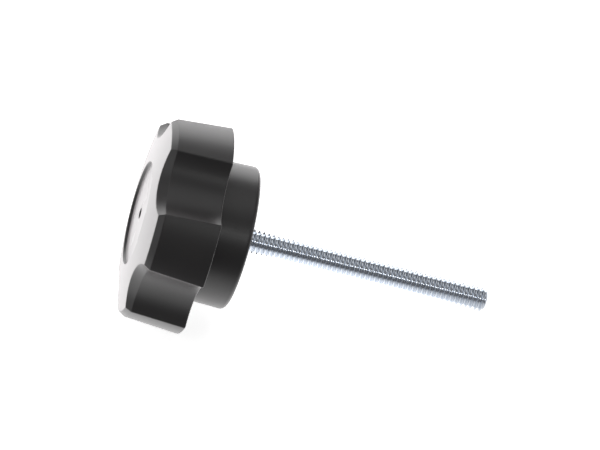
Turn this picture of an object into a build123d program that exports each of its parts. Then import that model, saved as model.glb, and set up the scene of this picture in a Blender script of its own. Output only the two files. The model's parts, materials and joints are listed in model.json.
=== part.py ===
from build123d import *
import os
from math import atan2, cos, degrees, sin, sqrt, tan

# A thumb screw: a moulded five-lobe knob on a threaded steel stud, lying on a flat surface as it comes to
# rest, on two of its lobes and the tip of its stud. Lengths are in millimetres. A name that ends in _z is a
# distance along the screw, from the plane of the lobes' front corners towards the tip of the stud.

# Grip: lobe ends, and the valleys between them
lobe_count = 5
lobe_pitch = 360 / lobe_count
front_corner_r = 25.45
bevel_end_r = 26.45
bevel_end_z = 1.6
lobe_back_r = 27.5
lobe_back_z = 15.9
valley_centre_r = 34.4
lobe_corner_r = 0.4
lobe_back_chamfer = 0.3

# Front: a shallow dome, and the round recess in it whose floor follows the dome, with a moulding well
dome_r = 138
recess_rim_r = 13.4
recess_foot_r = 12.9
recess_depth = 1.36
well_r = 1.35
well_depth = 2.4

# Hub behind the lobes, cored out from the back round a central boss
hub_root_r = 18.4
hub_back_r = 18.7
hub_back_z = 25.7
hub_edge_r = 1.2
core_r = 15.4
boss_r = 8.6
core_floor_z = 4.4
core_draft = 1.5
rib_width = 2.6
rib_draft = 0.6
rib_set_back = 1.6
rib_root = 1

# Stud: a hex-head screw of 1/4 inch, 3 1/4 inch long under its head, threaded from the hub's back on
inch = 25.4
stud_r = inch / 8
shank_r = 2.76
stud_tip_z = 91.2
tip_chamfer = 0.9
head_height = inch * 5 / 32
head_flats = inch * 7 / 16
head_back_z = stud_tip_z - 3.25 * inch

# Draft of the grip's walls, and the valleys' radii that keep the lobes' corners on the same slopes
grip_height = lobe_back_z - bevel_end_z
grip_growth = lobe_back_r - bevel_end_r
bevel_growth = bevel_end_r - front_corner_r
draft = atan2(grip_growth, grip_height)
bevel = atan2(bevel_growth, bevel_end_z)
valley_back_r = 11.9
valley_bevel_end_r = valley_back_r + grip_growth
valley_front_r = valley_bevel_end_r + bevel_growth

# How far a cutting shape, and the blank of the front, reach past the finished surface
margin = 4


def corner_depth(grip_r, valley_r):
    """Distance of a lobe's corner below the screw's axis, in the pose where a valley faces down."""
    return (grip_r**2 + valley_centre_r**2 - valley_r**2) / (2 * valley_centre_r)


# Rest: the line from the back corners of the two lower lobes to the stud's tip lies on the surface
contact_z = lobe_back_z - lobe_back_chamfer * cos(draft)
contact_grip_r = lobe_back_r - (lobe_back_z - contact_z) * tan(draft)
contact_valley_r = valley_back_r + (lobe_back_z - contact_z) * tan(draft)
contact_depth = corner_depth(contact_grip_r - lobe_corner_r, contact_valley_r + lobe_corner_r) + lobe_corner_r
tilt = atan2(contact_depth - stud_r, stud_tip_z - tip_chamfer - contact_z)

# The origin is on that surface, below the middle of the whole length
left_reach = -corner_depth(front_corner_r, valley_front_r) * sin(tilt)
right_reach = stud_tip_z * cos(tilt) + (stud_r - tip_chamfer) * sin(tilt)
front_height = contact_z * sin(tilt) + contact_depth * cos(tilt)
front_centre = Vector(-(left_reach + right_reach) / 2, 0, front_height)
along = Vector(cos(tilt), 0, -sin(tilt))
upward = Vector(sin(tilt), 0, cos(tilt))
screw_axis = Axis(front_centre, along)
lengthwise = Plane(origin=front_centre, x_dir=along, z_dir=(0, -1, 0))


def across(z):
    """Plane square to the screw at z, with its own x direction towards the upper lobe."""
    return Plane(origin=front_centre + along * z, x_dir=upward, z_dir=along)


def edges_near(part, z, reach=0.01):
    """Edges of a part whose middles lie within reach of the plane square to the screw at z."""
    return part.edges().filter_by_position(screw_axis, z - reach, z + reach)


# Stud: head and shank hidden in the knob, then the threaded length at the thread's outer diameter
with BuildPart() as stud:
    with BuildSketch(across(head_back_z - head_height)):
        RegularPolygon(radius=head_flats / 2, side_count=6, major_radius=False)
    extrude(amount=head_height)
    with BuildSketch(across(head_back_z)):
        Circle(shank_r)
    extrude(amount=hub_back_z - head_back_z)
    with BuildSketch(across(hub_back_z)):
        Circle(stud_r)
    extrude(amount=stud_tip_z - hub_back_z)
    chamfer(edges_near(stud, stud_tip_z), length=tip_chamfer)

# Spheres of the dome and of the recess's floor, and the recess's leaning wall
dome_centre_z = sqrt(dome_r**2 - front_corner_r**2)
dome_centre = front_centre + along * dome_centre_z
floor_r = dome_r - recess_depth
recess_rim_z = dome_centre_z - sqrt(dome_r**2 - recess_rim_r**2)
recess_foot_z = dome_centre_z - sqrt(floor_r**2 - recess_foot_r**2)
recess_lean = atan2(recess_rim_r - recess_foot_r, recess_foot_z - recess_rim_z)

with BuildPart() as recess:
    with BuildSketch(across(recess_rim_z + margin)):
        Circle(recess_rim_r - margin * tan(recess_lean))
    extrude(amount=-2 * margin, taper=-degrees(recess_lean))
    with Locations(dome_centre):
        Sphere(floor_r, mode=Mode.SUBTRACT)

with BuildPart() as knob:
    # Turned form: bevel, drafted lobe ends and flat back, with the domed front cut by its sphere
    with BuildSketch(lengthwise):
        with BuildLine():
            Polyline(
                (-margin, 0),
                (-margin, front_corner_r - margin * tan(bevel)),
                (bevel_end_z, bevel_end_r),
                (lobe_back_z, lobe_back_r),
                (lobe_back_z, 0),
                close=True,
            )
        make_face()
    revolve(axis=screw_axis)
    with Locations(dome_centre):
        Sphere(dome_r, mode=Mode.INTERSECT)
    add(recess.part, mode=Mode.SUBTRACT)

    # Finger valleys, with the lobes' draft behind the bevel and the bevel's own slope in front
    with BuildSketch(across(bevel_end_z)) as valleys:
        with PolarLocations(valley_centre_r, lobe_count, start_angle=lobe_pitch / 2):
            Circle(valley_bevel_end_r)
    extrude(amount=grip_height + margin, taper=degrees(draft), mode=Mode.SUBTRACT)
    extrude(valleys.sketch, amount=-(bevel_end_z + margin), taper=-degrees(bevel), mode=Mode.SUBTRACT)

    # Edges: the lobes' long corners are rounded, and the whole back edge is broken
    long_corners = edges_near(knob, (bevel_end_z + lobe_back_z) / 2, reach=grip_height / 4)
    fillet(long_corners, lobe_corner_r)
    chamfer(edges_near(knob, lobe_back_z), length=lobe_back_chamfer)

    # Hub
    with BuildSketch(across(lobe_back_z)):
        Circle(hub_root_r)
    hub_draft = degrees(atan2(hub_back_r - hub_root_r, hub_back_z - lobe_back_z))
    extrude(amount=hub_back_z - lobe_back_z, taper=-hub_draft)
    fillet(edges_near(knob, hub_back_z), hub_edge_r)

    # Core: a ring round the boss, bridged by ribs that point to the lobes and stop short of the back
    with BuildSketch(across(hub_back_z)):
        Circle(core_r)
        Circle(boss_r, mode=Mode.SUBTRACT)
    extrude(amount=core_floor_z - hub_back_z, taper=core_draft, mode=Mode.SUBTRACT)
    with BuildSketch(across(core_floor_z)):
        with PolarLocations((core_r + boss_r) / 2, lobe_count):
            Rectangle(core_r - boss_r + 2 * rib_root, rib_width)
    extrude(amount=hub_back_z - rib_set_back - core_floor_z, taper=rib_draft)

    # Moulding well at the centre of the recess
    with BuildSketch(across(dome_centre_z - floor_r + well_depth)):
        Circle(well_r)
    extrude(amount=-(well_depth + margin), mode=Mode.SUBTRACT)

    # The knob is moulded round the screw's head and shank
    add(stud.part, mode=Mode.SUBTRACT)

knob.part.label = "knob"
stud.part.label = "stud"
os.makedirs("parts", exist_ok=True)
export_step(knob.part, "parts/knob.step")
export_step(stud.part, "parts/stud.step")
print(f"lies at {degrees(tilt):.2f} degrees, front centre {front_height:.2f} mm above the surface")
print(f"grip draft {degrees(draft):.2f} degrees, bevel {degrees(bevel):.2f} degrees")
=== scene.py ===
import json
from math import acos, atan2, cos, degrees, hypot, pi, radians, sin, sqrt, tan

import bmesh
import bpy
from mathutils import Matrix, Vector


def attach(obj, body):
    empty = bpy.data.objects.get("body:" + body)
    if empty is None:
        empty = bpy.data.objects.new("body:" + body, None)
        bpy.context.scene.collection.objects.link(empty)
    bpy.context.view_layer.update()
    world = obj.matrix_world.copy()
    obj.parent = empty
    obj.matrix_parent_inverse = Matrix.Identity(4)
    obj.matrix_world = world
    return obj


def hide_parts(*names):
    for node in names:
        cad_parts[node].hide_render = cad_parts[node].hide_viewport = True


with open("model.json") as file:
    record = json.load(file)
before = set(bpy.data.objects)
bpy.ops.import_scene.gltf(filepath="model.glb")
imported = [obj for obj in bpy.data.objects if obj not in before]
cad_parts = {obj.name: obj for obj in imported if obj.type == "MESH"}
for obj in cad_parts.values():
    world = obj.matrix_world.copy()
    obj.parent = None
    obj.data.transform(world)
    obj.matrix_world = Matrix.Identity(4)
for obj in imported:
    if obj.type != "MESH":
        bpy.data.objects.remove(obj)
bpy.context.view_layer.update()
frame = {"record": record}

# %% [markdown]
# # A thumb screw, dressed for its picture
# The solids of the part are already in place: a five-lobe plastic knob, and the steel stud that it is
# moulded on. This lesson gives both a finished surface model, because the solids leave out the helix of
# the thread and most of the small rounded edges that catch the light. Lengths are in metres, written as
# millimetres times mm. A name that ends in _z is a distance along the screw from the front corners of
# the lobes.

mm = 0.001

# %% [markdown]
# ## Where the screw lies
# The screw rests on two lobes and the tip of its stud, so it is tilted. It is simpler to model it
# upright, with its front down and its stud pointing up, and to lay it down at the end. The part's record
# names the stud as a mount and gives its middle, direction and length, and that settles the placing.

# %% The screw's axis, read from the part's record
mounts = {mount["name"]: mount for mount in frame["record"]["mounts"]}
stud_wall = mounts["stud"]
along = Vector(stud_wall["axis"]).normalized()
sideways = Vector((0, -1, 0))
upward = sideways.cross(along)
stud_r = stud_wall["dims"]["r_mm"] * mm
wall_length = stud_wall["dims"]["length_mm"] * mm
hub_back_z = 25.7 * mm
tip_chamfer = 0.9 * mm
stud_tip_z = hub_back_z + wall_length + tip_chamfer
front_centre = Vector(stud_wall["pos_m"]) - along * (hub_back_z + wall_length / 2)
leaning = Matrix((upward, sideways, along)).transposed().to_4x4()
resting_place = Matrix.Translation(front_centre) @ leaning
print("tilt:", round(degrees(atan2(-along.z, along.x)), 2), "degrees")
print("stud ends at", round(stud_tip_z / mm, 2), "mm")

# %% [markdown]
# ## One piece at a time
# An operator works on everything that is selected, and the solids are still selected after loading. Two
# helpers clear the selection and pick a single piece, so that each step touches only its own piece.

# %% Helper: deselect everything
def start_fresh():
    if bpy.context.object and bpy.context.object.mode != "OBJECT":
        bpy.ops.object.mode_set(mode="OBJECT")
    bpy.ops.object.select_all(action="DESELECT")


# %% Helpers: make one piece the active and only selected one, and apply its modifiers
def pick(piece):
    start_fresh()
    piece.select_set(True)
    bpy.context.view_layer.objects.active = piece


def apply_modifiers(piece):
    pick(piece)
    for modifier in list(piece.modifiers):
        bpy.ops.object.modifier_apply(modifier=modifier.name)


# %% [markdown]
# ## The grip's outline
# Seen from its end the grip is five lobes with a round finger valley between each two. All its arcs are
# tangent: a lobe's end is centred on the screw's axis, a valley on a point outside the knob, and a small
# corner joins them. Drawn by hand it would be a few spins of a vertex. Here the same walk is a function,
# because every level of the knob needs it at a slightly different size, with its points in the same
# order.

# %% Sizes of the grip
lobe_count = 5
lobe_pitch = 2 * pi / lobe_count
valley_centre_r = 34.4 * mm
front_corner_r = 25.45 * mm
bevel_end_r, bevel_end_z = 26.45 * mm, 1.6 * mm
lobe_back_r, lobe_back_z = 27.5 * mm, 15.9 * mm
back_growth = lobe_back_r - bevel_end_r
valley_back_r = 11.9 * mm
valley_bevel_end_r = valley_back_r + back_growth
lobe_corner_r = 0.4 * mm
lobe_steps, corner_steps, valley_steps = 20, 5, 28
axis_point = Vector((0, 0))


# %% A walk along an arc
def spoke(angle, radius=1.0):
    return Vector((radius * cos(angle), radius * sin(angle)))


def arc(centre, radius, start, end, steps):
    """Points of an arc without its last one, which begins the next stretch."""
    return [centre + spoke(start + (end - start) * i / steps, radius) for i in range(steps)]


# %% One level of the grip
def grip_outline(lobe_r, valley_r, corner_r):
    """One lobe, its two corners and the valley after it, repeated all the way round."""
    to_corner = lobe_r - corner_r
    reach = valley_r + corner_r
    spread = acos((to_corner**2 + valley_centre_r**2 - reach**2) / (2 * to_corner * valley_centre_r))
    lobe_half = lobe_pitch / 2 - spread
    next_lobe = lobe_pitch - lobe_half
    corner = spoke(lobe_half, to_corner)
    next_corner = spoke(next_lobe, to_corner)
    valley = spoke(lobe_pitch / 2, valley_centre_r)
    to_valley = atan2(valley.y - corner.y, valley.x - corner.x)
    walk = arc(axis_point, lobe_r, -lobe_half, lobe_half, lobe_steps)
    walk += arc(corner, corner_r, lobe_half, to_valley, corner_steps)
    walk += arc(valley, valley_r, to_valley + pi, lobe_pitch - to_valley + pi, valley_steps)
    walk += arc(next_corner, corner_r, lobe_pitch - to_valley, next_lobe, corner_steps)
    turns = [Matrix.Rotation(lobe * lobe_pitch, 2) for lobe in range(lobe_count)]
    return [turned @ point for turned in turns for point in walk]


outline = grip_outline(bevel_end_r, valley_bevel_end_r, lobe_corner_r)
headings = [atan2(point.y, point.x) for point in outline]
print("points in one outline:", len(outline))

# %% [markdown]
# ## The knob's surface, loop by loop
# The real knob is one injection moulding, so its model is one closed skin. It could be cut from a turned
# blank with Booleans, but the glossy front would then show every uneven face. Here the skin is a chain
# of loops with equal numbers of points, bridged one to the next: from the moulding well over the domed
# front, down the bevel and the drafted lobes, across the back to the hub, and into the hole that holds
# the screw. The points are written straight into the mesh, because no operator places them by a formula.
# The floor of the recess is nearly flat: it keeps only a twentieth of the dome's curve.

# %% Sizes of the front
dome_r = 138 * mm
dome_centre_z = sqrt(dome_r**2 - front_corner_r**2)
recess_rim_r, recess_foot_r, recess_depth = 13.4 * mm, 13.12 * mm, 1.36 * mm
floor_flatness = 0.95
well_r, well_depth = 1.35 * mm, 2.4 * mm


def dome_z(r, depth=0.0):
    """Height of the domed front, or of a surface at a depth under it, at a distance from the axis."""
    return dome_centre_z - sqrt((dome_r - depth)**2 - r**2)


def floor_z(r):
    """Height of the recess's floor, which is flatter than the dome."""
    domed = dome_z(r, recess_depth)
    return domed + (dome_z(0, recess_depth) - domed) * floor_flatness


print("recess floor, centre and foot, mm:", [round(floor_z(r) / mm, 2) for r in (0, recess_foot_r)])

# %% Sizes of the hub, its core and the hole for the screw's shank and head
hub_root_r, hub_back_r = 18.4 * mm, 18.7 * mm
core_r, boss_r, core_floor_z = 15.4 * mm, 8.6 * mm, 4.4 * mm
rib_width, rib_set_back = 2.6 * mm, 1.6 * mm
ring_floor_z = hub_back_z - rib_set_back
core_lean, rib_lean = tan(radians(1.5)), tan(radians(0.6))
shank_r = 2.76 * mm
head_flats, head_front_z, head_back_z = 11.1125 * mm, 4.68125 * mm, 8.65 * mm
sector = pi / 3
print("hub wall, mm:", round((hub_back_r - core_r) / mm, 2))


# %% Loops that are round, six-sided or lobed
def ring(r, z):
    return [(*spoke(heading, r), z) for heading in headings]


def six_sided(z):
    """The outline of the screw's hexagon head."""
    half_flats = head_flats / 2
    return [(*spoke(h, half_flats / cos((h % sector) - sector / 2)), z) for h in headings]


def lobed(growth, z, corner_r=lobe_corner_r):
    """The grip's outline grown outward all round by a length."""
    points = grip_outline(bevel_end_r + growth, valley_bevel_end_r - growth, corner_r)
    return [(point.x, point.y, z) for point in points]


def wall(z):
    """The grip's outline on its drafted wall."""
    return lobed(back_growth * (z - bevel_end_z) / (lobe_back_z - bevel_end_z), z)


def between(inner, outer, share, height):
    """A loop part of the way from one loop to another, laid on a surface of height(r)."""
    flat = [Vector(a[:2]).lerp(Vector(b[:2]), share) for a, b in zip(inner, outer)]
    return [(point.x, point.y, height(point.length)) for point in flat]


# %% The front edge, where the bevel meets the dome
bevel_slope = (bevel_end_r - front_corner_r) / bevel_end_z
bevel_corner_r = 0.15 * mm
walk_step, walk_steps = 0.02 * mm, 150
walk_down = [step * walk_step for step in range(walk_steps)]
bevel_walks = [lobed(-down * bevel_slope, bevel_end_z - down, bevel_corner_r) for down in walk_down]


def height_over_dome(point):
    return point[2] - dome_z(hypot(*point[:2]))


def slide_to_dome():
    """Each point slides down the bevel until it reaches the dome."""
    edge = []
    for i in range(len(outline)):
        for above, below in zip(bevel_walks, bevel_walks[1:]):
            gap_above, gap_below = height_over_dome(above[i]), height_over_dome(below[i])
            if gap_below <= 0:
                share = gap_above / (gap_above - gap_below)
                edge.append(tuple(Vector(above[i]).lerp(Vector(below[i]), share)))
                break
    return edge


front = slide_to_dome()
depths = [point[2] / mm for point in front]
print(f"front edge: {len(front)} points, z from {min(depths):.2f} to {max(depths):.2f} mm")

# %% How round each edge is
edge_r = {
    "well": 0.1 * mm, "recess foot": 0.2 * mm, "recess rim": 0.15 * mm, "front": 0.2 * mm,
    "bevel": 0.12 * mm, "lobe back": 0.4 * mm, "hub root": 0.3 * mm, "hub back": 1.2 * mm,
    "core": 0.25 * mm, "pocket floor": 0.5 * mm}
print("largest rounding, mm:", round(max(edge_r.values()) / mm, 2))

# %% The chain of loops, each with the roundness of its edge
rim = ring(recess_rim_r, dome_z(recess_rim_r))
lobe_back = lobed(back_growth, lobe_back_z)
hub_root = ring(hub_root_r, lobe_back_z)
floor_rings = [r * mm for r in (2.4, 4.5, 7, 9.5, 11.6)]
wall_levels = [z * mm for z in (4, 8, 12)]
front_shares, back_shares = (0.12, 0.3, 0.5, 0.7, 0.88), (0.3, 0.7)
chain = [
    (ring(well_r, floor_z(0) + well_depth), 0),
    (ring(well_r, floor_z(well_r)), edge_r["well"]),
    *[(ring(r, floor_z(r)), 0) for r in floor_rings],
    (ring(recess_foot_r, floor_z(recess_foot_r)), edge_r["recess foot"]),
    (rim, edge_r["recess rim"]),
    *[(between(rim, front, share, dome_z), 0) for share in front_shares],
    (front, edge_r["front"]),
    (lobed(0, bevel_end_z), edge_r["bevel"]),
    *[(wall(z), 0) for z in wall_levels],
    (lobe_back, edge_r["lobe back"]),
    *[(between(lobe_back, hub_root, share, lambda r: lobe_back_z), 0) for share in back_shares],
    (hub_root, edge_r["hub root"]),
    (ring((hub_root_r + hub_back_r) / 2, (lobe_back_z + hub_back_z) / 2), 0),
    (ring(hub_back_r, hub_back_z), edge_r["hub back"]),
    (ring(core_r, hub_back_z), edge_r["core"]),
    (ring(core_r - rib_set_back * core_lean, ring_floor_z), 0),
    (ring(boss_r + rib_set_back * core_lean, ring_floor_z), 0),
    (ring(boss_r, hub_back_z), edge_r["core"]),
    (ring(shank_r, hub_back_z), 0),
    (ring(shank_r, head_back_z), 0),
    (six_sided(head_back_z), 0),
    (six_sided(head_front_z), 0),
]
print("loops in the chain:", len(chain))


# %% Bridge a chain into one closed skin
def skin_from(loops, name):
    """Neighbouring loops are joined by four-sided faces, and the two ends are closed with a fan."""
    mesh = bpy.data.meshes.new(name)
    bm = bmesh.new()
    weight = bm.edges.layers.float.new("bevel_weight_edge")
    largest = max(roundness for _, roundness in loops)
    rows = [[bm.verts.new(point) for point in points] for points, _ in loops]
    for row, (_, roundness) in zip(rows, loops):
        for a, b in zip(row, row[1:] + row[:1]):
            bm.edges.new((a, b))[weight] = roundness / largest
    for lower, upper in zip(rows, rows[1:]):
        for a, b, c, d in zip(lower, lower[1:] + lower[:1], upper[1:] + upper[:1], upper):
            bm.faces.new((a, b, c, d))
    for row in (rows[0], rows[-1]):
        cap = bm.faces.new(row)
        bmesh.ops.poke(bm, faces=[cap])
    bmesh.ops.recalc_face_normals(bm, faces=bm.faces)
    bm.to_mesh(mesh)
    bm.free()
    piece = bpy.data.objects.new(name, mesh)
    bpy.context.collection.objects.link(piece)
    print(name, "has", len(mesh.vertices), "points and", len(mesh.polygons), "faces")
    return piece


knob = skin_from(chain, "five_lobe_knob")

# %% [markdown]
# ## Small roundings
# A mould leaves no sharp edges, and at this camera distance it is the roundings that catch the light.
# They could be more loops in the chain. The Bevel modifier makes them all at once instead, with the
# weight of each edge giving its share of the largest one, which on the knob is the rounded back edge of
# the hub.

# %% Round the knob's edges
def round_edges(piece, largest, segments):
    rounding = piece.modifiers.new("small roundings", "BEVEL")
    rounding.limit_method = "WEIGHT"
    rounding.width = largest
    rounding.segments = segments
    rounding.use_clamp_overlap = False
    apply_modifiers(piece)
    print(piece.name, "after its roundings:", len(piece.data.vertices), "points")


round_edges(knob, edge_r["hub back"], segments=4)

# %% [markdown]
# ## The cored back
# Thick plastic shrinks as it cools, so the hub is hollowed from the back: five pockets are left between
# the wall, the boss that grips the screw and five ribs that point to the lobes. One pocket is drawn as
# two loops, one at its mouth and one at its floor, and turned round the axis four more times. A Boolean
# then cuts all five, which is safe here because they meet the skin on one flat face. The shallow ring
# above the ribs, which they stop short of, is already in the chain.

# %% The outline of one pocket at a height
pocket_corner_r = 1.2 * mm
inset = 0.02 * mm
outer_steps, inner_steps, pocket_corner_steps = 12, 6, 5


def pocket_outline(z):
    """Half is walked from the middle of the outer wall, and the other half mirrors it. The pocket stays a
    hair inside the ring at the hub's back, so that no two walls lie in one surface."""
    depth = hub_back_z - z
    outer_r = core_r - depth * core_lean - inset
    inner_r = boss_r + depth * core_lean + inset
    rib_side = rib_width / 2 + (ring_floor_z - z) * rib_lean
    corner_off_rib = rib_side + pocket_corner_r
    rib = spoke(lobe_pitch / 2)
    off_rib = Vector((rib.y, -rib.x))
    far = rib * sqrt((outer_r - pocket_corner_r)**2 - corner_off_rib**2) + off_rib * corner_off_rib
    near = rib * sqrt((inner_r + pocket_corner_r)**2 - corner_off_rib**2) + off_rib * corner_off_rib
    towards_rib = atan2(-off_rib.y, -off_rib.x)
    far_heading, near_heading = atan2(far.y, far.x), atan2(near.y, near.x)
    half = arc(axis_point, outer_r, 0, far_heading, outer_steps)
    half += arc(far, pocket_corner_r, far_heading, towards_rib, pocket_corner_steps)
    half += [far - off_rib * pocket_corner_r]
    half += arc(near, pocket_corner_r, towards_rib, near_heading + pi, pocket_corner_steps)
    half += arc(axis_point, inner_r, near_heading, 0, inner_steps)
    half += [Vector((inner_r, 0))]
    mirrored = [Vector((point.x, -point.y)) for point in half[-2:0:-1]]
    turned = Matrix.Rotation(lobe_pitch / 2, 2)
    return [(*(turned @ point), z) for point in half + mirrored]


# %% Five pocket cutters, joined into one
mouth_z = ring_floor_z + rib_set_back / 2
pocket_loops = [(pocket_outline(mouth_z), 0), (pocket_outline(core_floor_z), edge_r["pocket floor"])]
pocket = skin_from(pocket_loops, "pocket")
round_edges(pocket, edge_r["pocket floor"], segments=3)
pockets = [pocket]
for turn in range(1, lobe_count):
    pick(pocket)
    bpy.ops.object.duplicate()
    turned_pocket = bpy.context.object
    turned_pocket.data.transform(Matrix.Rotation(turn * lobe_pitch, 4, "Z"))
    pockets.append(turned_pocket)
start_fresh()
for piece in pockets:
    piece.select_set(True)
bpy.context.view_layer.objects.active = pocket
bpy.ops.object.join()
print("pockets joined into one cutter:", len(pockets))


# %% Cut them out of the hub
def combine(piece, other, operation):
    """A Boolean of two closed pieces; the second one is used up."""
    boolean = piece.modifiers.new("cut or join", "BOOLEAN")
    boolean.operation = operation
    boolean.solver = "EXACT"
    boolean.object = other
    apply_modifiers(piece)
    bpy.data.objects.remove(other, do_unlink=True)


combine(knob, pocket, "DIFFERENCE")
print("knob with its core:", len(knob.data.vertices), "points")

# %% [markdown]
# ## The thread
# A stud's thread is rolled: dies press the steel into one long ridge that climbs to the right, one pitch
# for each turn. A picture of grooves in a bump would do from far away, but not for a model that others
# reuse. So the ridge's section is drawn for one pitch only, and the Screw modifier carries it round and
# up. The ends of that coil are ragged, as no real screw's are, so the coil is made a little too long and
# kept only where it lies inside a plain blank with a chamfered tip.

# %% Sizes of a 1/4 inch thread with 20 turns to the inch
inch = 25.4 * mm
pitch = inch / 20
crest_width = pitch / 8
root_width = pitch / 4
flank_slope = tan(radians(30))
flank_rise = (pitch - crest_width - root_width) / 2 / flank_slope
root_r = stud_r - flank_rise
crest_break, root_break = crest_width * 0.15, root_width * 0.08
steps_per_turn = 48
thread_from_z = hub_back_z - 0.05 * mm
spare = 3 * pitch
weld = 0.001 * mm
print(f"pitch {pitch / mm:.3f} mm, root radius {root_r / mm:.3f} mm")


# %% The section of one pitch, from the middle of one root to the middle of the next
def thread_section():
    """The second half mirrors the first. A small flat breaks each corner of the root and of the crest."""
    flank_start = root_width / 2
    flank_end = flank_start + flank_rise * flank_slope
    half = [
        (root_r, 0),
        (root_r, flank_start - root_break),
        (root_r + root_break * 0.35, flank_start + root_break * 0.3),
        (stud_r - crest_break * 0.9, flank_end - crest_break * 0.5),
        (stud_r, flank_end + crest_break),
    ]
    other_half = [(r, pitch - z) for r, z in reversed(half)]
    return half + other_half


# %% Carry the section round and up, and close the two ends of the coil
def make_coil(name, first_z, last_z):
    section = thread_section()
    points = [(r, 0, first_z + z) for r, z in section]
    edges = [(i, i + 1) for i in range(len(section) - 1)]
    mesh = bpy.data.meshes.new(name)
    mesh.from_pydata(points, edges, [])
    coil = bpy.data.objects.new(name, mesh)
    bpy.context.collection.objects.link(coil)
    screw = coil.modifiers.new("thread", "SCREW")
    screw.angle = 2 * pi
    screw.screw_offset = pitch
    screw.iterations = round((last_z - first_z) / pitch)
    screw.steps = screw.render_steps = steps_per_turn
    screw.use_merge_vertices = False
    apply_modifiers(coil)
    bpy.ops.object.mode_set(mode="EDIT")
    bpy.ops.mesh.select_all(action="SELECT")
    bpy.ops.mesh.remove_doubles(threshold=weld)
    bpy.ops.mesh.select_all(action="DESELECT")
    bpy.ops.mesh.select_mode(type="EDGE")
    bpy.ops.mesh.select_non_manifold()
    bpy.ops.mesh.fill()
    bpy.ops.mesh.select_all(action="SELECT")
    bpy.ops.mesh.normals_make_consistent(inside=False)
    bpy.ops.object.mode_set(mode="OBJECT")
    print("coil:", len(coil.data.vertices), "points")
    return coil


stud = make_coil("threaded_stud", thread_from_z - spare, stud_tip_z + spare)


# %% Helper: a closed cylinder on the screw's axis
def cylinder(name, radius, low_z, high_z, sides):
    start_fresh()
    bpy.ops.mesh.primitive_cylinder_add(
        vertices=sides, radius=radius, depth=high_z - low_z, location=(0, 0, (low_z + high_z) / 2))
    bpy.ops.object.transform_apply(location=True, rotation=True, scale=True)
    piece = bpy.context.object
    piece.name = name
    return piece


# %% The blank: a cylinder whose upper end is extruded and drawn in to the chamfered tip
proud = 0.1 * mm
blank_r = stud_r + proud
chamfer_z = stud_tip_z - tip_chamfer - proud
blank = cylinder("blank", blank_r, thread_from_z, chamfer_z, sides=96)
bpy.ops.object.mode_set(mode="EDIT")
bpy.ops.mesh.select_mode(type="FACE")
bpy.ops.mesh.select_all(action="DESELECT")
bpy.ops.object.mode_set(mode="OBJECT")
for face in blank.data.polygons:
    face.select = face.center.z > chamfer_z - weld
bpy.ops.object.mode_set(mode="EDIT")
bpy.ops.mesh.extrude_region_move(TRANSFORM_OT_translate={"value": (0, 0, stud_tip_z - chamfer_z)})
drawn_in = (stud_r - tip_chamfer) / blank_r
bpy.ops.transform.resize(value=(drawn_in, drawn_in, 1), center_override=(0, 0, stud_tip_z))
bpy.ops.object.mode_set(mode="OBJECT")
combine(stud, blank, "INTERSECT")
print("thread inside its blank:", len(stud.data.vertices), "points")

# %% The shank and the hexagon head, which hold the screw in the knob
into_head, into_thread = 0.5 * mm, 0.01 * mm
shank = cylinder("shank", shank_r, head_back_z - into_head, thread_from_z + into_thread, sides=64)
combine(stud, shank, "UNION")
head = cylinder("head", head_flats / 2 / cos(sector / 2), head_front_z, head_back_z, sides=6)
combine(stud, head, "UNION")
pick(stud)
bpy.ops.object.mode_set(mode="EDIT")
bpy.ops.mesh.select_all(action="SELECT")
bpy.ops.mesh.dissolve_degenerate(threshold=weld)
bpy.ops.object.mode_set(mode="OBJECT")
print("stud:", len(stud.data.vertices), "points")
print("its smallest face, mm2:", round(min(face.area for face in stud.data.polygons) / mm**2, 6))

# %% [markdown]
# ## Shading and place
# Flat shading would show every face, and smooth shading alone would blur the edges. So each piece is
# shaded smooth except across sharp angles, and Weighted Normal lets the large faces decide the shading
# next to a small rounding. The stud's limit is lower than the knob's, and keeps the crests of its thread
# flat. Then each mesh is laid down where its solid lies, and takes over from that solid.

# %% Shade the pieces and lay them down
knob_sharp_from, stud_sharp_from = radians(32), radians(24)


def lay_down(piece, node, sharp_from):
    pick(piece)
    bpy.ops.object.shade_smooth_by_angle(angle=sharp_from)
    weighted = piece.modifiers.new("flat faces stay flat", "WEIGHTED_NORMAL")
    weighted.keep_sharp = True
    apply_modifiers(piece)
    piece.data.transform(resting_place)
    piece.data.update()
    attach(piece, "root")
    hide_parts(node)
    lowest = min((piece.matrix_world @ point.co).z for point in piece.data.vertices)
    print(piece.name, "lowest point", round(lowest / mm, 3), "mm")


lay_down(knob, "knob", knob_sharp_from)
lay_down(stud, "stud", stud_sharp_from)

# %% [markdown]
# ## A way to write shader nodes
# Nodes could be added and linked one line at a time, but a shader is easier to read as a sum. Signal
# wraps one socket, so that plus, minus and times on it add Math nodes. Finish holds the node tree of one
# material and makes every other node with a single method.

# %% One socket that can be added, subtracted and multiplied
class Signal:
    def __init__(self, finish, socket):
        self.finish, self.socket = finish, socket

    def math(self, operation, first, second):
        return self.finish.node("ShaderNodeMath", {"operation": operation}, {0: first, 1: second})

    def __add__(self, other):
        return self.math("ADD", self, other)

    def __sub__(self, other):
        return self.math("SUBTRACT", self, other)

    def __rsub__(self, other):
        return self.math("SUBTRACT", other, self)

    def __mul__(self, other):
        return self.math("MULTIPLY", self, other)

    __radd__, __rmul__ = __add__, __mul__


# %% The node tree of one finish
class Finish:
    def __init__(self, tree):
        self.tree = tree
        tree.nodes.clear()

    def node(self, kind, settings, values, output=0):
        """Add a node, set it, then give its sockets their values or links."""
        made = self.tree.nodes.new(kind)
        for name, setting in settings.items():
            setattr(made, name, setting)
        for name, value in values.items():
            if isinstance(value, Signal):
                self.tree.links.new(value.socket, made.inputs[name])
            else:
                made.inputs[name].default_value = value
        return Signal(self, made.outputs[output]) if made.outputs else None


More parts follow.
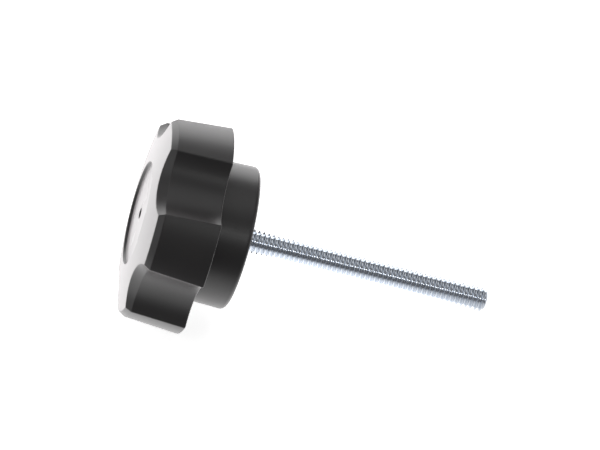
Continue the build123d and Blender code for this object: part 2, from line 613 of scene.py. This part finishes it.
def new_finish(name):
    material = bpy.data.materials.new(name)
    material.use_nodes = True
    return material, Finish(material.node_tree)


# %% Nodes that several finishes share
def object_place(finish):
    return finish.node("ShaderNodeTexCoord", {}, {}, "Object")


def noise(finish, scale, detail, roughness):
    """Random patches that keep to the piece, because they are laid on its own coordinates."""
    sockets = {"Vector": object_place(finish), "Scale": scale, "Detail": detail, "Roughness": roughness}
    return finish.node("ShaderNodeTexNoise", {}, sockets)


def bumps(finish, height, strength, distance):
    sockets = {"Strength": strength, "Distance": distance, "Height": height}
    return finish.node("ShaderNodeBump", {}, sockets)


def blend(finish, factor, first, second):
    """A colour part of the way from one to another; sockets 6 and 7 of a Mix node are its two colours."""
    return finish.node("ShaderNodeMix", {"data_type": "RGBA"}, {0: factor, 6: first, 7: second}, output=2)


def ray(finish, kind):
    """One where a ray of this kind arrives, and zero elsewhere."""
    return finish.node("ShaderNodeLightPath", {}, {}, f"Is {kind} Ray")


# %% [markdown]
# ## Black plastic, grained and polished
# The knob is glass-filled nylon or a like plastic, coloured through. Its skin copies the mould: the
# cavity's walls are spark-eroded to a fine matt grain that gives fingers a hold, and the plate that
# forms the front is polished. Flow of the melt leaves soft patches that are a little more or less
# glossy. One black for the whole knob would lose that contrast, so one function makes both finishes. A
# coat stands for the resin at the skin, and a sheen for the pale bloom that the front shows when it is
# seen at a flat angle.

# %% A black plastic from its grain, gloss and bloom
def black_plastic(name, grain_strength, roughness, coat, coat_roughness, bloom):
    material, plastic = new_finish(name)
    patches = noise(plastic, scale=90.0, detail=3.0, roughness=0.5)
    grain = noise(plastic, scale=2600.0, detail=2.0, roughness=0.6)
    black = blend(plastic, patches, (0.0060, 0.0052, 0.0054, 1), (0.0090, 0.0080, 0.0082, 1))
    skin = plastic.node("ShaderNodeBsdfPrincipled", {}, {
        "Base Color": black, "Roughness": patches * 0.10 + (roughness - 0.05), "IOR": 1.5,
        "Normal": bumps(plastic, grain, strength=grain_strength, distance=0.02 * mm),
        "Coat Weight": coat, "Coat Roughness": coat_roughness, "Coat IOR": 1.5,
        "Sheen Weight": bloom, "Sheen Roughness": 0.5, "Sheen Tint": (1, 0.94, 0.96, 1)})
    plastic.node("ShaderNodeOutputMaterial", {}, {"Surface": skin})
    print("finish:", name, "with", len(plastic.tree.nodes), "nodes")
    return material


# %% Grained walls, polished front
grained = black_plastic("grained_black_plastic", grain_strength=0.15, roughness=0.38,
                        coat=0.45, coat_roughness=0.34, bloom=0.3)
polished = black_plastic("polished_black_plastic", grain_strength=0.03, roughness=0.26,
                         coat=1.0, coat_roughness=0.18, bloom=1.0)
facing_front = 0.93
knob.data.materials.clear()
knob.data.materials.append(grained)
knob.data.materials.append(polished)
for face in knob.data.polygons:
    face.material_index = int(face.normal.dot(-along) > facing_front)
print("faces of the polished front:", sum(face.material_index for face in knob.data.polygons))

# %% [markdown]
# ## Zinc-plated steel
# The stud is steel with a thin bright layer of zinc, which has a bluish tint and is less smooth than
# chrome. A plain metal would look like chrome, so the layer's colour and gloss change in soft clouds,
# and a very fine bump scatters its mirror images.

# %% The plating
plating, layer = new_finish("bright_zinc_plating")
cloud = noise(layer, scale=220.0, detail=4.0, roughness=0.55)
fine = noise(layer, scale=3000.0, detail=2.0, roughness=0.6)
zinc = blend(layer, cloud, (0.64, 0.68, 0.74, 1), (0.75, 0.79, 0.85, 1))
steel = layer.node("ShaderNodeBsdfPrincipled", {}, {
    "Base Color": zinc, "Metallic": 1.0, "Roughness": cloud * 0.08 + 0.14,
    "Normal": bumps(layer, fine, strength=0.15, distance=0.01 * mm)})
layer.node("ShaderNodeOutputMaterial", {}, {"Surface": steel})
stud.data.materials.clear()
stud.data.materials.append(plating)
print("finish:", plating.name, "with", len(layer.tree.nodes), "nodes")

# %% [markdown]
# ## Floor, room and lamps
# A small part like this is photographed on a sheet of white paper under soft lamps. The lamps could be
# turned up until the paper is white, but they would grey the black plastic. So the paper has a glow that
# only the camera and mirror images see, and its own matt surface takes the shadow. In mirror images the
# glow fades out in front of the screw, along a slanted edge, and past it the floor is painted grey: this
# is painted shade, seen only in mirror images, for the paper in front of the screw being less lit. That
# keeps the lobes' walls and the middle of the stud dark. The room is white to the camera, but dim as a
# light and in mirror images, for the same reason. In an evenly white room both pieces would look paler.

# %% The floor
table_side, table_drop = 6, 0.02 * mm
# The second colour is painted shade: a grey that only mirror images see past the slanted edge, standing
# for the less lit paper in front of the screw.
paper_white, mirrored_shade_grey = (0.9, 0.9, 0.9, 1), (0.25, 0.25, 0.26, 1)
paper_glow, mirrored_glow = 0.8, 1.15
edge_slant = 0.55
bpy.ops.mesh.primitive_plane_add(size=table_side, location=(0, 0, -table_drop))
floor = bpy.context.object
floor.name = "white_table"
sheet, paper = new_finish("white_sheet")
place = object_place(paper)
place_x = paper.node("ShaderNodeSeparateXYZ", {}, {0: place}, "X")
place_y = paper.node("ShaderNodeSeparateXYZ", {}, {0: place}, "Y")
glow_not_shade = paper.node("ShaderNodeMapRange", {"interpolation_type": "SMOOTHSTEP"}, {
    "Value": place_y - place_x * edge_slant, "From Min": -59 * mm, "From Max": 1 * mm,
    "To Min": 0.0, "To Max": 1.0})
# Past the slanted edge, mirror images see painted shade, the grey, instead of the glowing paper.
mirrored = ray(paper, "Glossy") * glow_not_shade
mirrored_shade = ray(paper, "Glossy") - mirrored
seen = ray(paper, "Camera") + ray(paper, "Transmission")
matt_colour = blend(paper, mirrored_shade, paper_white, mirrored_shade_grey)
matt = paper.node("ShaderNodeBsdfDiffuse", {}, {"Color": matt_colour})
glow = paper.node("ShaderNodeEmission", {}, {
    "Color": (1, 1, 1, 1), "Strength": seen * paper_glow + mirrored * mirrored_glow})
lit = paper.node("ShaderNodeAddShader", {}, {0: matt, 1: glow})
paper.node("ShaderNodeOutputMaterial", {}, {"Surface": lit})
floor.data.materials.append(sheet)
print("floor:", [round(side, 2) for side in floor.dimensions[:2]], "m")

# %% The room
world = bpy.data.worlds.new("studio")
bpy.context.scene.world = world
world.use_nodes = True
room = Finish(world.node_tree)
room_light = 0.2
seen = ray(room, "Camera") + ray(room, "Transmission")
walls = room.node("ShaderNodeBackground", {}, {
    "Color": (1, 1, 1, 1), "Strength": seen * (1 - room_light) + room_light})
room.node("ShaderNodeOutputWorld", {}, {"Surface": walls})
print("room:", world.name, "with light", room_light)


# %% Soft lamps
def softbox(name, where, width, height, radiance):
    """A flat lamp aimed at the screw, as bright to look at as its radiance."""
    lamp = bpy.data.lights.new(name, "AREA")
    lamp.shape = "RECTANGLE"
    lamp.size, lamp.size_y = width, height
    lamp.energy = radiance * pi * width * height
    box = bpy.data.objects.new(name, lamp)
    bpy.context.collection.objects.link(box)
    box.location = where
    box.rotation_euler = (Vector(where) - front_centre).to_track_quat("Z", "Y").to_euler()
    print("lamp", name, "of", round(lamp.energy, 2), "W")


softbox("behind", (-0.25, 1.0, 0.5), width=1.8, height=0.8, radiance=1.9)
softbox("left", (-1.2, -0.55, 0.65), width=1.0, height=1.0, radiance=0.8)
softbox("right", (1.3, -0.35, 0.35), width=0.9, height=0.9, radiance=0.6)
softbox("overhead", (0, -0.05, 1.2), width=1.4, height=1.2, radiance=0.6)

# %% A small strip that draws the bright line along the crests of the thread
softbox("beside_the_camera", (0.41, -0.98, 0.65), width=0.32, height=0.10, radiance=8.0)

# %% [markdown]
# ## The camera
# The photograph was taken from the front and above, from far enough away that the two ends of the stud
# are almost the same size. The camera stands 1.6 m off and looks down at 32.7 degrees, and the long lens
# fills the frame. The screw is left of the middle, so the camera looks at a point beside the knob. The
# camera could be turned by angles, but its three directions as the columns of a matrix are easier to
# check.

# %% Camera
look_down, look_aside = radians(32.717), radians(0.582)
distance, beside, above, far_limit = 1600 * mm, 39.677 * mm, -2.728 * mm, 20
focal_px, frame_px, sensor_width = 6294.5, 600, 36
turn = Matrix.Rotation(-look_aside, 3, "Z")
right = turn @ Vector((1, 0, 0))
upwards = turn @ Vector((0, sin(look_down), cos(look_down)))
forwards = turn @ Vector((0, cos(look_down), -sin(look_down)))
stand = front_centre + right * beside + upwards * above - forwards * distance
facing = Matrix((right, upwards, -forwards)).transposed().to_4x4()
camera_data = bpy.data.cameras.new("camera")
camera_data.sensor_width = sensor_width
camera_data.lens = focal_px / frame_px * sensor_width
camera_data.clip_end = far_limit
camera = bpy.data.objects.new("camera", camera_data)
bpy.context.collection.objects.link(camera)
camera.matrix_world = Matrix.Translation(stand) @ facing
bpy.context.scene.camera = camera
bpy.context.scene.view_settings.view_transform = "Standard"
print("lens:", round(camera_data.lens, 1), "mm, camera at", [round(v, 3) for v in stand])
